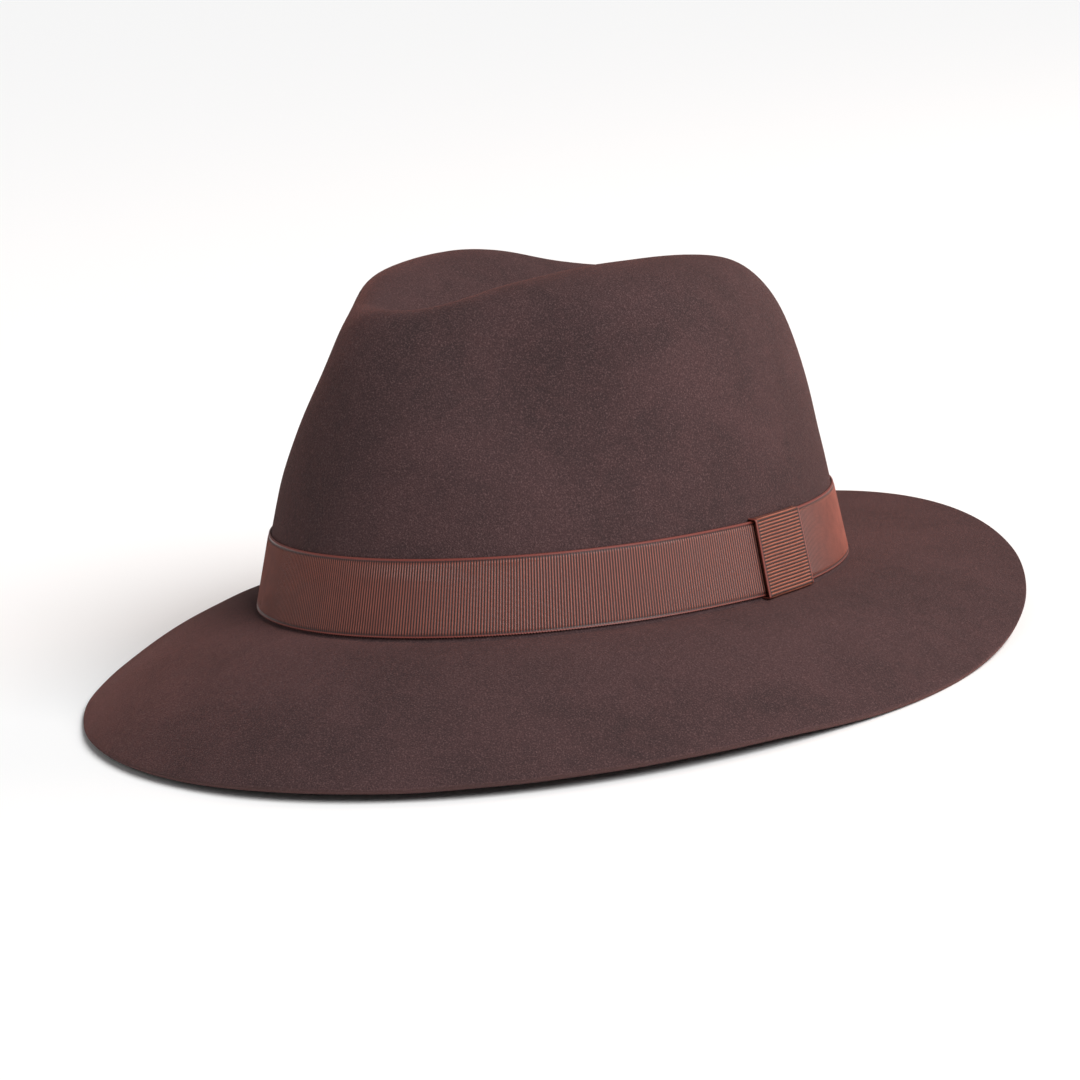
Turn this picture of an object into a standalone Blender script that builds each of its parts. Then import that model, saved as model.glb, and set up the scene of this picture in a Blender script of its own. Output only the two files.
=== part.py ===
"""A snap-brim fur-felt fedora: felt, ribbon band, leather sweatband and satin lining.

Everything is modelled in the hat's own frame, in metres: the origin is the centre of the head
opening at the brim break, the front is -Y, the wearer's left is +X and up is +Z. An empty then
stands the whole hat on its brim. A turn is an angle round the crown: 0 at the front, growing
towards the wearer's left, half a circle at the back.
"""

import math

import bmesh
import bpy
import numpy as np
from mathutils import Euler, Vector

# Crown, outer face of the felt
HALF_WIDTH = 0.0853
HALF_LENGTH = 0.1017
CROWN_HEIGHT = 0.1056
FRONT_FALL = -0.001
FRONT_FALL_START = 0.040
FRONT_FALL_RUN = 0.040
BACK_FALL = 0.0048
BACK_FALL_RUN = 0.055
BACK_CANT = 0.096
TOP_CANT = -0.013
SIDE_TAPER = 0.206
FRONT_TAPER = 0.289
BACK_TAPER = 0.174
FULLNESS = 6.0
BREAK_FLARE = 0.0002
FLARE_HEIGHT = 0.005

# Centre dent: a teardrop, narrow at the front
DENT_DEPTH = 0.0212
DENT_FRONT = -0.0708
DENT_FRONT_RUN = 0.0277
DENT_BACK = 0.0208
DENT_BACK_RUN = 0.0518
DENT_NARROW = 0.0221
DENT_WIDE = 0.0202
DENT_SPREAD_START = -0.070
DENT_SPREAD_RUN = 0.100
DENT_STARTS_AT = 0.55

# The two front pinches
PINCH_DEPTH = 0.0112
PINCH_Y = -0.0547
PINCH_HEIGHT = 0.0771
PINCH_LENGTH = 0.0267
PINCH_TALL = 0.0267
RIGHT_PINCH_SHARE = 1.61
PINCH_BLEND = 0.030

# Brim: width and edge height at the front, sides and back
BRIM_FRONT = 0.059
BRIM_SIDE = 0.0559
BRIM_BACK = 0.0585
EDGE_FRONT = -0.031
EDGE_SIDE = -0.0225
EDGE_BACK = 0.0019
EDGE_CORNER = -0.0013
EDGE_CANT = -0.0036
EDGE_FRONT_CANT = 0.0029
BRIM_CURVE = 1.6

# Materials' thicknesses and the clearance between pieces that touch
FELT = 0.0020
RIBBON = 0.0006
LEATHER = 0.0012
SATIN = 0.0005
TAPE = 0.0004
GAP = 0.0003

# Hat band and keeper
BAND_FOOT = 0.0012
BAND_TOP = 0.0242
KEEPER_TURN = math.radians(102.9)
KEEPER_WIDTH = math.radians(14.0)
LAP_HALF = math.radians(4.0)
LAP_RISE = math.radians(14.0)

# Sweatband and what is sewn to it
SWEAT_HEIGHTS = (0.0015, 0.0060, 0.0120, 0.0400)
REED_RADIUS = 0.00075
TAPE_FOOT = -0.0020
TAPE_BACK_TOP = 0.0060
TAPE_LIP_TOP = 0.0012
SEAM_HALF = 0.0005
THREAD_HEIGHT = 0.0045
THREAD_RADIUS = 0.00025
ZIGZAG_FOOT = 0.0100
ZIGZAG_TOP = 0.0380
ZIGZAG_HALF_WIDTH = 0.0025
ZIGZAG_POINTS = 15
BOW_HEIGHT = 0.0062
BOW_LOOP_LENGTH = 0.0095
BOW_LOOP_HALF_HEIGHT = 0.0028
BOW_LOOP_ROOT_SHARE = 0.35
BOW_LOOP_POINTS = 20
BOW_RIBBON_WIDTH = 0.0022
KNOT_SIZE = Vector((0.0036, 0.0024, 0.0044))
KNOT_EDGE = 0.0008
LABEL_TURN = math.radians(146.0)
LABEL_SIZE = Vector((0.018, 0.00025, 0.010))
LABEL_HEIGHT = 0.022

# Lining
LINING_FOOT_ROW = 3
TIP_ROW = 16
TIP_CORD_RADIUS = 0.0006
TIP_CORD_SIDES = 6

# How the hat stands: on the front and both sides of the brim
REST_TILT = Euler((math.radians(-3.30), math.radians(-1.45), 0.0))

# Mesh density, and the angle beyond which an edge is shaded sharp
TURNS = 56
CROWN_ROWS = 24
BRIM_ROWS = 5
STRIP_STEPS = 4
SHARP_ANGLE = math.radians(50)
FULL_TURN = 2 * math.pi
BACK_TURN = math.pi

# sRGB colours
FELT_BROWN = (83, 62, 60)
RIBBON_BROWN = (135, 95, 88)
KEEPER_BROWN = (132, 86, 76)
LEATHER_BROWN = (122, 78, 50)
SATIN_BROWN = (96, 74, 62)
TAPE_BROWN = (70, 50, 42)
THREAD_TAN = (168, 130, 96)
REED_CLEAR = (200, 196, 186)
LABEL_CREAM = (214, 205, 186)


def ease(share):
    """A smooth step from 0 to 1 as the share goes from 0 to 1."""
    share = min(max(share, 0.0), 1.0)
    return share * share * (3 - 2 * share)


def tip_height(x, y):
    """Height of the crown's top before it is dented, lower towards the front and the back."""
    front = FRONT_FALL * ease((-y - FRONT_FALL_START) / FRONT_FALL_RUN)
    back = (BACK_FALL - BACK_CANT * x) * ease(y / BACK_FALL_RUN)
    return CROWN_HEIGHT - front - back + TOP_CANT * x


def dent_depth(x, y):
    """Depth of the teardrop dent at a place on the top."""
    along = ease((y - DENT_FRONT) / DENT_FRONT_RUN) * (1 - ease((y - DENT_BACK) / DENT_BACK_RUN))
    spread = min(max((y - DENT_SPREAD_START) / DENT_SPREAD_RUN, 0.0), 1.0)
    half_width = DENT_NARROW + (DENT_WIDE - DENT_NARROW) * spread
    return DENT_DEPTH * along * math.exp(-((x / half_width) ** 2))


def pinch_depth(x, y, z):
    """How far the front pinches push the side in, with the side's own sign."""
    near = math.exp(-(((y - PINCH_Y) / PINCH_LENGTH) ** 2) - ((z - PINCH_HEIGHT) / PINCH_TALL) ** 2)
    share = RIGHT_PINCH_SHARE if x < 0 else 1.0
    return PINCH_DEPTH * share * near * math.tanh(x / PINCH_BLEND)


def crown_point(turn, rise):
    """Outer face of the crown: rise runs from 0 at the brim break to 1 at the middle of the top."""
    angle = rise * math.pi / 2
    size = (abs(math.cos(angle)) ** FULLNESS + abs(math.sin(angle)) ** FULLNESS) ** (1 / FULLNESS)
    across = max(math.cos(angle), 0.0) / size
    up = math.sin(angle) / size
    side = math.sin(turn)
    ahead = math.cos(turn)
    end_taper = FRONT_TAPER if ahead > 0 else BACK_TAPER
    x = HALF_WIDTH * (1 - SIDE_TAPER * up) * side * across
    y = -HALF_LENGTH * (1 - end_taper * up) * ahead * across
    top = tip_height(x, y)
    z = top * up
    flare = BREAK_FLARE * math.exp(-z / FLARE_HEIGHT)
    x += flare * side
    y -= flare * ahead
    high = min(max((z / top - DENT_STARTS_AT) / (1 - DENT_STARTS_AT), 0.0), 1.0)
    z -= dent_depth(x, y) * high
    x -= pinch_depth(x, y, z)
    return Vector((x, y, z))


def brim_point(turn, reach):
    """Upper face of the brim: reach runs from 0 at the break to 1 at the edge."""
    side = math.sin(turn)
    ahead = math.cos(turn)
    end_width = BRIM_FRONT if ahead > 0 else BRIM_BACK
    end_edge = EDGE_FRONT if ahead > 0 else EDGE_BACK
    width = BRIM_SIDE * side**2 + end_width * ahead**2
    edge = EDGE_SIDE * side**2 + end_edge * ahead**2
    edge += EDGE_CORNER * (1 - math.cos(4 * turn)) / 2 + EDGE_CANT * side
    edge += EDGE_FRONT_CANT * side * max(ahead, 0.0)
    foot = crown_point(turn, 0.0)
    outward = oval_normal(turn)
    return foot + outward * width * reach + Vector((0, 0, edge * reach**BRIM_CURVE))


def oval_normal(turn):
    """Level unit vector that points out of the head oval."""
    return Vector((math.sin(turn) / HALF_WIDTH, -math.cos(turn) / HALF_LENGTH, 0)).normalized()


def rise_at(turn, height):
    """The rise at which the crown's side reaches a height, by halving."""
    low = 0.0
    high = 0.5
    for _ in range(40):
        middle = (low + high) / 2
        if crown_point(turn, middle).z < height:
            low = middle
        else:
            high = middle
    return low


def wall_point(turn, height, out):
    """A point at a height on the crown's side, moved level by out from the felt's outer face."""
    if height > 0:
        foot = crown_point(turn, rise_at(turn, height))
    else:
        foot = crown_point(turn, 0.0)
    foot.z = height
    return foot + oval_normal(turn) * out


def crown_inside(turn, rise, depth):
    """A point under the crown's outer face, along its normal."""
    step = 1e-4
    along = crown_point(turn + step, rise) - crown_point(turn - step, rise)
    upward = crown_point(turn, rise + step) - crown_point(turn, rise - step)
    return crown_point(turn, rise) - along.cross(upward).normalized() * depth


def turns_round():
    """The turns at which every ring round the crown has its points."""
    return [FULL_TURN * step / TURNS for step in range(TURNS)]


def clear_scene():
    """Removes what the scene starts with."""
    for item in list(bpy.data.objects):
        bpy.data.objects.remove(item, do_unlink=True)


def linear(level):
    """One sRGB channel, 0 to 255, as linear light."""
    share = level / 255
    return share / 12.92 if share <= 0.04045 else ((share + 0.055) / 1.055) ** 2.4


def finish(name, srgb, roughness, metallic=0.0):
    """A plain material for one piece."""
    material = bpy.data.materials.new(name)
    material.use_nodes = True
    shader = material.node_tree.nodes["Principled BSDF"]
    shader.inputs["Base Color"].default_value = (*map(linear, srgb), 1.0)
    shader.inputs["Roughness"].default_value = roughness
    shader.inputs["Metallic"].default_value = metallic
    return material


def add_piece(mesh, name, material, parts, stand):
    """Links a mesh as a named piece of the hat, shaded smooth over gentle angles."""
    mesh.name = name
    mesh.shade_smooth()
    mesh.set_sharp_from_angle(angle=SHARP_ANGLE)
    piece = bpy.data.objects.new(name, mesh)
    piece.data.materials.append(material)
    piece.parent = stand
    parts.objects.link(piece)
    return piece


def sheet_mesh(rings, tip=None):
    """An open surface through rings of points, each from low to high, closed by a tip point."""
    form = bmesh.new()
    rows = [[form.verts.new(point) for point in ring] for ring in rings]
    for low, high in zip(rows, rows[1:]):
        for here in range(len(low)):
            there = (here + 1) % len(low)
            form.faces.new((low[here], low[there], high[there], high[here]))
    if tip is not None:
        peak = form.verts.new(tip)
        top = rows[-1]
        for here in range(len(top)):
            form.faces.new((top[here], top[(here + 1) % len(top)], peak))
    return finished_mesh(form)


def sweep_mesh(sections, closed):
    """A solid through sections of equal point count: a closed ring, or a strip with two ends."""
    form = bmesh.new()
    loops = [[form.verts.new(point) for point in section] for section in sections]
    pairs = list(zip(loops, loops[1:]))
    if closed:
        pairs.append((loops[-1], loops[0]))
    for first, second in pairs:
        for here in range(len(first)):
            there = (here + 1) % len(first)
            form.faces.new((first[here], first[there], second[there], second[here]))
    if not closed:
        form.faces.new(loops[0])
        form.faces.new(loops[-1])
    bmesh.ops.recalc_face_normals(form, faces=form.faces)
    return finished_mesh(form)


def finished_mesh(form):
    """Turns a working form into a mesh and frees it."""
    mesh = bpy.data.meshes.new("form")
    form.to_mesh(mesh)
    form.free()
    return mesh


def thicken(piece, thickness):
    """Gives an open surface its thickness on the inner side."""
    shell = piece.modifiers.new("thickness", "SOLIDIFY")
    shell.thickness = thickness
    shell.offset = -1.0
    shell.use_even_offset = True


def wall_ring(turns, corners, closed):
    """A solid round the crown's side whose section is a list of (height, out) corners."""
    sections = [[wall_point(turn, height, out) for height, out in corners] for turn in turns]
    return sweep_mesh(sections, closed)


def round_corners(height, out, radius, count):
    """Corners of a round section, as (height, out) pairs."""
    angles = [FULL_TURN * step / count for step in range(count)]
    return [(height + radius * math.sin(a), out + radius * math.cos(a)) for a in angles]


def crown_rises():
    """Rises of the crown's rows, from the brim break to just short of the tip."""
    return [row / CROWN_ROWS for row in range(CROWN_ROWS)]


def make_felt_body(parts, stand):
    """Brim and crown, blocked from one felt hood."""
    reaches = [1 - row / BRIM_ROWS for row in range(BRIM_ROWS)]
    rings = [[brim_point(turn, reach) for turn in turns_round()] for reach in reaches]
    rings += [[crown_point(turn, rise) for turn in turns_round()] for rise in crown_rises()]
    material = finish("brown fur felt", FELT_BROWN, 0.9)
    mesh = sheet_mesh(rings, crown_point(0.0, 1.0))
    felt = add_piece(mesh, "felt_body", material, parts, stand)
    thicken(felt, FELT)
    return felt


def band_out(swept):
    """How far the ribbon stands off the felt: its last stretch climbs over its own start."""
    climb = ease((swept - FULL_TURN + LAP_RISE) / LAP_RISE)
    return GAP + (RIBBON + GAP) * climb


def make_hat_band(parts, stand):
    """Grosgrain ribbon once round the crown, its ends lapped under the keeper."""
    start = KEEPER_TURN - LAP_HALF
    swept_all = FULL_TURN + 2 * LAP_HALF
    count = TURNS + 4
    sections = []
    for step in range(count + 1):
        swept = swept_all * step / count
        turn = start + swept
        inner = band_out(swept)
        corners = ((BAND_FOOT, inner), (BAND_FOOT, inner + RIBBON))
        corners += ((BAND_TOP, inner + RIBBON), (BAND_TOP, inner))
        sections.append([wall_point(turn, height, out) for height, out in corners])
    material = finish("ribbed ribbon", RIBBON_BROWN, 0.55)
    add_piece(sweep_mesh(sections, False), "hat_band", material, parts, stand)


def make_band_keeper(parts, stand):
    """Short ribbon strip folded over the band's top and foot where its ends lap."""
    inner = 3 * GAP + 2 * RIBBON
    outer = inner + RIBBON
    low = BAND_FOOT - GAP
    high = BAND_TOP + GAP
    corners = (
        (low - RIBBON, GAP),
        (low - RIBBON, outer),
        (high + RIBBON, outer),
        (high + RIBBON, GAP),
        (high, GAP),
        (high, inner),
        (low, inner),
        (low, GAP),
    )
    begin = KEEPER_TURN - KEEPER_WIDTH / 2
    turns = [begin + KEEPER_WIDTH * step / STRIP_STEPS for step in range(STRIP_STEPS + 1)]
    material = finish("keeper ribbon", KEEPER_BROWN, 0.55)
    add_piece(wall_ring(turns, corners, False), "band_keeper", material, parts, stand)


def sweat_out():
    """Outer face of the leather: inside the felt and the lining."""
    return -(FELT + SATIN + 3 * GAP)


def seam_turns():
    """Turns from one end of the sweatband round the front to its other end, at the back seam."""
    half = SEAM_HALF / HALF_WIDTH
    begin = BACK_TURN + half
    swept = FULL_TURN - 2 * half
    return [begin + swept * step / TURNS for step in range(TURNS + 1)]


def make_sweatband(parts, stand):
    """Leather strip round the head opening, its ends meeting at the back."""
    outer = sweat_out()
    inner = outer - LEATHER
    corners = [(height, inner) for height in reversed(SWEAT_HEIGHTS)]
    corners += [(height, outer) for height in SWEAT_HEIGHTS]
    material = finish("sweatband leather", LEATHER_BROWN, 0.45)
    add_piece(wall_ring(seam_turns(), corners, False), "sweatband", material, parts, stand)


def reed_centre_out():
    """Middle of the reed, level with the middle of the leather."""
    return sweat_out() - LEATHER / 2


def make_reed(parts, stand):
    """Springy plastic reed in the fold of the tape, its ends just apart at the back."""
    height = TAPE_FOOT + TAPE + GAP + REED_RADIUS
    corners = round_corners(height, reed_centre_out(), REED_RADIUS, 6)
    material = finish("plastic reed", REED_CLEAR, 0.35)
    add_piece(wall_ring(seam_turns(), corners, False), "reed", material, parts, stand)


def make_reed_tape(parts, stand):
    """Woven tape folded round the reed: a low lip inside, a tall side behind the leather."""
    far_out = -(FELT + GAP)
    near_out = far_out - TAPE
    lip_out = reed_centre_out() - REED_RADIUS - GAP
    corners = (
        (TAPE_FOOT, far_out),
        (TAPE_FOOT, lip_out - TAPE),
        (TAPE_LIP_TOP, lip_out - TAPE),
        (TAPE_LIP_TOP, lip_out),
        (TAPE_FOOT + TAPE, lip_out),
        (TAPE_FOOT + TAPE, near_out),
        (TAPE_BACK_TOP, near_out),
        (TAPE_BACK_TOP, far_out),
    )
    material = finish("reed tape", TAPE_BROWN, 0.8)
    add_piece(wall_ring(turns_round(), corners, True), "reed_tape", material, parts, stand)


def thread_out():
    """Middle of a thread that lies on the leather's inner face."""
    return sweat_out() - LEATHER - GAP - THREAD_RADIUS


def make_sweatband_thread(parts, stand):
    """The row of stitching that holds the leather to the reed tape."""
    corners = round_corners(THREAD_HEIGHT, thread_out(), THREAD_RADIUS, 4)
    material = finish("sewing thread", THREAD_TAN, 0.6)
    mesh = wall_ring(turns_round(), corners, True)
    add_piece(mesh, "sweatband_thread", material, parts, stand)


def make_seam_zigzag(parts, stand):
    """Zigzag stitching that draws the sweatband's ends together at the back."""
    path = bpy.data.curves.new("zigzag path", "CURVE")
    path.dimensions = "3D"
    line = path.splines.new("POLY")
    line.points.add(ZIGZAG_POINTS - 1)
    half_turn = ZIGZAG_HALF_WIDTH / HALF_WIDTH
    for step in range(ZIGZAG_POINTS):
        height = ZIGZAG_FOOT + (ZIGZAG_TOP - ZIGZAG_FOOT) * step / (ZIGZAG_POINTS - 1)
        side = 1 if step % 2 else -1
        point = wall_point(BACK_TURN + side * half_turn, height, thread_out())
        line.points[step].co = (*point, 1.0)
    path.bevel_depth = THREAD_RADIUS
    path.bevel_resolution = 1
    path.use_fill_caps = True
    piece = bpy.data.objects.new("seam_zigzag", path)
    piece.data.materials.append(finish("seam thread", THREAD_TAN, 0.6))
    piece.parent = stand
    parts.objects.link(piece)


def bow_out():
    """Middle of the bow's ribbon, just inside the sweatband's stitching."""
    return thread_out() - THREAD_RADIUS - GAP - BOW_RIBBON_WIDTH / 2


def back_point(along, height, out):
    """A point by the back seam, along towards the wearer's left."""
    return wall_point(BACK_TURN - along / HALF_WIDTH, height, out)


def make_bow_loop(name, side, parts, stand):
    """One flat ribbon loop of the bow, a drop-shaped ring lying along the sweatband."""
    root = KNOT_SIZE.x / 2 + GAP + RIBBON
    sections = []
    for step in range(BOW_LOOP_POINTS):
        angle = FULL_TURN * step / BOW_LOOP_POINTS
        reach = BOW_LOOP_LENGTH * (1 - math.cos(angle)) / 2
        open_share = BOW_LOOP_ROOT_SHARE + (1 - BOW_LOOP_ROOT_SHARE) * reach / BOW_LOOP_LENGTH
        section = []
        for depth, thick in ((-1, -1), (1, -1), (1, 1), (-1, 1)):
            grow = thick * RIBBON / 2
            along = side * (root + reach - grow * math.cos(angle))
            rise = BOW_LOOP_HALF_HEIGHT * math.sin(angle) * open_share + grow * math.sin(angle)
            section.append(back_point(along, BOW_HEIGHT + rise, bow_out() + depth * BOW_RIBBON_WIDTH / 2))
        sections.append(section)
    material = finish(name.replace("_", " "), RIBBON_BROWN, 0.5)
    add_piece(sweep_mesh(sections, True), name, material, parts, stand)


def rounded_block(size, place, bevel):
    """A block with rounded edges, centred on a place."""
    form = bmesh.new()
    bmesh.ops.create_cube(form, size=1.0)
    bmesh.ops.scale(form, vec=size, verts=form.verts)
    bmesh.ops.bevel(form, geom=form.edges, offset=bevel, segments=2, profile=0.5, affect="EDGES")
    bmesh.ops.translate(form, vec=place, verts=form.verts)
    return finished_mesh(form)


def make_bow_knot(parts, stand):
    """The wrap that gathers the bow's loops."""
    mesh = rounded_block(KNOT_SIZE, back_point(0.0, BOW_HEIGHT, bow_out()), KNOT_EDGE)
    material = finish("bow knot", RIBBON_BROWN, 0.5)
    add_piece(mesh, "bow_knot", material, parts, stand)


def make_size_label(parts, stand):
    """Small blank label inside the sweatband, beside the back seam."""
    clear = sweat_out() - LEATHER - GAP
    half = LABEL_SIZE.x / 2 / HALF_LENGTH
    turns = [LABEL_TURN - half + 2 * half * step / STRIP_STEPS for step in range(STRIP_STEPS + 1)]
    low = LABEL_HEIGHT - LABEL_SIZE.z / 2
    high = LABEL_HEIGHT + LABEL_SIZE.z / 2
    inner = clear - LABEL_SIZE.y
    corners = ((low, inner), (low, clear), (high, clear), (high, inner))
    material = finish("blank label", LABEL_CREAM, 0.7)
    add_piece(wall_ring(turns, corners, False), "size_label", material, parts, stand)


def lining_ring(rise):
    """One row of the lining's outer face, just inside the felt."""
    return [crown_inside(turn, rise, FELT + GAP) for turn in turns_round()]


def make_lining_side(parts, stand):
    """Satin strip that lines the crown's side, from behind the sweatband to the tip's seam."""
    rises = crown_rises()[LINING_FOOT_ROW:TIP_ROW]
    material = finish("lining satin side", SATIN_BROWN, 0.35)
    mesh = sheet_mesh([lining_ring(rise) for rise in rises])
    side = add_piece(mesh, "lining_side", material, parts, stand)
    thicken(side, SATIN)


def make_lining_tip(parts, stand):
    """Satin oval under the crown's top, following its dent."""
    rises = crown_rises()[TIP_ROW:]
    middle = crown_point(0.0, 1.0) - Vector((0, 0, FELT + GAP))
    material = finish("lining satin tip", SATIN_BROWN, 0.35)
    mesh = sheet_mesh([lining_ring(rise) for rise in rises], middle)
    tip = add_piece(mesh, "lining_tip", material, parts, stand)
    thicken(tip, SATIN)


def make_tip_seam_cord(parts, stand):
    """Piping sewn round the seam between the lining's side and its tip."""
    rise = (crown_rises()[TIP_ROW - 1] + crown_rises()[TIP_ROW]) / 2
    depth = FELT + SATIN + 2 * GAP + TIP_CORD_RADIUS
    near = FULL_TURN / TURNS / 10
    sections = []
    for turn in turns_round():
        centre = crown_inside(turn, rise, depth)
        inward = (centre - crown_inside(turn, rise, 0.0)).normalized()
        along = crown_inside(turn + near, rise, depth) - crown_inside(turn - near, rise, depth)
        across = inward.cross(along).normalized()
        section = []
        for step in range(TIP_CORD_SIDES):
            angle = FULL_TURN * step / TIP_CORD_SIDES
            spoke = inward * math.cos(angle) + across * math.sin(angle)
            section.append(centre + spoke * TIP_CORD_RADIUS)
        sections.append(section)
    material = finish("seam piping", SATIN_BROWN, 0.4)
    add_piece(sweep_mesh(sections, True), "tip_seam_cord", material, parts, stand)


def stand_on_brim(stand, felt):
    """Tilts the hat onto its brim, with the middle of its box over the origin."""
    stand.rotation_euler = REST_TILT
    bpy.context.view_layer.update()
    graph = bpy.context.evaluated_depsgraph_get()
    shaped = felt.evaluated_get(graph)
    world = shaped.matrix_world
    corners = np.array([world @ vertex.co for vertex in shaped.data.vertices])
    low = corners.min(axis=0)
    high = corners.max(axis=0)
    middle = (low + high) / 2
    stand.location = (-middle[0], -middle[1], -low[2])


def main():
    clear_scene()
    scene = bpy.context.scene
    parts = bpy.data.collections.new("fedora")
    scene.collection.children.link(parts)
    stand = bpy.data.objects.new("stand", None)
    parts.objects.link(stand)
    felt = make_felt_body(parts, stand)
    make_hat_band(parts, stand)
    make_band_keeper(parts, stand)
    make_sweatband(parts, stand)
    make_reed(parts, stand)
    make_reed_tape(parts, stand)
    make_sweatband_thread(parts, stand)
    make_seam_zigzag(parts, stand)
    make_bow_loop("bow_loop_left", 1, parts, stand)
    make_bow_loop("bow_loop_right", -1, parts, stand)
    make_bow_knot(parts, stand)
    make_size_label(parts, stand)
    make_lining_side(parts, stand)
    make_lining_tip(parts, stand)
    make_tip_seam_cord(parts, stand)
    stand_on_brim(stand, felt)


main()
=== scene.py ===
"""Looks of a snap-brim fur-felt fedora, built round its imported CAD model.

Shapes are worked out in the hat's own frame, in metres: the origin is the centre of the head
opening at the brim break, the front is -Y, the wearer's left is +X and up is +Z. The hat is then
stood on its brim, in the row frame. A turn is an angle round the crown: 0 at the front, growing
towards the wearer's left, half a circle at the back.
"""

import math

import bmesh
import bpy
import numpy as np
from mathutils import Euler, Matrix, Vector


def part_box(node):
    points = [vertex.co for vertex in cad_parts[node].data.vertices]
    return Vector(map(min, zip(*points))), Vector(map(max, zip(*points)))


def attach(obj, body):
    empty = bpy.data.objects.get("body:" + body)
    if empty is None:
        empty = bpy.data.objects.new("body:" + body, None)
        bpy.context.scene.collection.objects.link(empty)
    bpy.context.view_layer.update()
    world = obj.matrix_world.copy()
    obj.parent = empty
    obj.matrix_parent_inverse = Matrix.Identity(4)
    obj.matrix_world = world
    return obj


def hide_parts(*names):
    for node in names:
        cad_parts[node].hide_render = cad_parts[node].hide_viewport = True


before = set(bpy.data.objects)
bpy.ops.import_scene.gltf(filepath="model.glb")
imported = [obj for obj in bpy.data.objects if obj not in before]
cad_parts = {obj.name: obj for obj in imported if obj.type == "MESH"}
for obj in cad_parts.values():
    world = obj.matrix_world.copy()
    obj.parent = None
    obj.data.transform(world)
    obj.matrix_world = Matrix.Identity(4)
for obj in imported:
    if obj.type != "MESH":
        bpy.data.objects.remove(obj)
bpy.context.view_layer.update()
MM = 0.001

# Crown, outer face of the felt
HALF_WIDTH = 0.0853
HALF_LENGTH = 0.1017
CROWN_HEIGHT = 0.1056
FRONT_FALL = -0.001
FRONT_FALL_START = 0.040
FRONT_FALL_RUN = 0.040
BACK_FALL = 0.0048
BACK_FALL_RUN = 0.055
BACK_CANT = 0.096
TOP_CANT = -0.013
SIDE_TAPER = 0.206
FRONT_TAPER = 0.289
BACK_TAPER = 0.174
FULLNESS = 6.0
BREAK_FLARE = 0.0002
FLARE_HEIGHT = 0.005
BREAK_RADIUS = 0.0009

# Centre dent and front pinches
DENT_DEPTH = 0.0212
DENT_FRONT = -0.0708
DENT_FRONT_RUN = 0.0277
DENT_BACK = 0.0208
DENT_BACK_RUN = 0.0518
DENT_FRONT_SPREAD = 0.0221
DENT_BACK_SPREAD = 0.0202
DENT_SPREAD_START = -0.070
DENT_SPREAD_RUN = 0.100
DENT_STARTS_AT = 0.55
PINCH_DEPTH = 0.0112
PINCH_Y = -0.0547
PINCH_HEIGHT = 0.0771
PINCH_LENGTH = 0.0267
PINCH_TALL = 0.0267
RIGHT_PINCH_SHARE = 1.61
PINCH_BLEND = 0.030

# Brim
BRIM_FRONT = 0.059
BRIM_SIDE = 0.0559
BRIM_BACK = 0.0585
EDGE_FRONT = -0.031
EDGE_SIDE = -0.0225
EDGE_BACK = 0.0019
EDGE_CORNER = -0.0013
EDGE_CANT = -0.0036
EDGE_FRONT_CANT = 0.0029
BRIM_CURVE = 1.6
EDGE_RADIUS = 0.00045

# Thicknesses and the clearance between pieces that touch
FELT = 0.0020
RIBBON = 0.0006
LEATHER = 0.0012
SATIN = 0.0005
TAPE = 0.0004
GAP = 0.0003

# Hat band and keeper
BAND_FOOT = 0.0012
BAND_TOP = 0.0242
RIB_PITCH = 0.00090
RIB_DEPTH = 0.00030
KEEPER_TURN = math.radians(102.9)
KEEPER_WIDTH = math.radians(14.0)
KEEPER_RIB_PITCH = 0.00104
LAP_HALF = math.radians(4.0)
LAP_RISE = math.radians(14.0)
SELVEDGE_BEAD = 0.00022
SELVEDGE_MIDDLE = 0.0003
SELVEDGE_SPREAD = 0.00028
RIBS_START = 0.0009
RIBS_RUN = 0.0005
LOOP_REACH = 0.00012
BUCKLE_DEPTH = 0.0010
BUCKLE_OFFSET = 0.075  # radians round the crown
BUCKLE_SPREAD = 0.05
BUCKLE_SINK = 0.0002
RIBBON_BEND = 0.0006
KEEPER_BEAD = 0.00016
KEEPER_PROUD = 0.0009

# Sweatband and what is sewn to it
SWEAT_FOOT = 0.0015
SWEAT_TOP = 0.0400
REED_RADIUS = 0.00075
TAPE_FOOT = -0.0020
TAPE_BACK_TOP = 0.0060
TAPE_LIP_TOP = 0.0012
TAPE_BEND = 0.0006
LEATHER_RIPPLE = 0.00008
SEAM_HALF = 0.0005
THREAD_HEIGHT = 0.0045
THREAD_RADIUS = 0.00025
STITCH_LENGTH = 0.0030
STITCH_PITCH = 0.0037
ZIGZAG_FOOT = 0.0100
ZIGZAG_TOP = 0.0380
ZIGZAG_HALF_WIDTH = 0.0025
ZIGZAG_POINTS = 15
BOW_HEIGHT = 0.0062
BOW_LOOP_LENGTH = 0.0095
BOW_LOOP_HALF_HEIGHT = 0.0028
BOW_RIBBON_WIDTH = 0.0022
KNOT_SIZE = (0.0036, 0.0024, 0.0044)
LABEL_TURN = math.radians(146.0)
LABEL_SIZE = (0.018, 0.00025, 0.010)
LABEL_HEIGHT = 0.022

# Lining
LINING_FOOT_RISE = 3 / 24
LINING_SEAM_FOOT_RISE = 15 / 24
LINING_SEAM_TOP_RISE = 16 / 24
TIP_CORD_RADIUS = 0.0006
GATHERS = 72
GATHER_BEHIND_LEATHER = 0.00012
GATHER_DEPTH = 0.0009
TIP_PUCKER = 0.0004
TIP_PUCKERS = 60

REST_TILT = Euler((math.radians(-3.30), math.radians(-1.45), 0.0))
FULL_TURN = 2 * math.pi
BACK_TURN = math.pi

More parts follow.
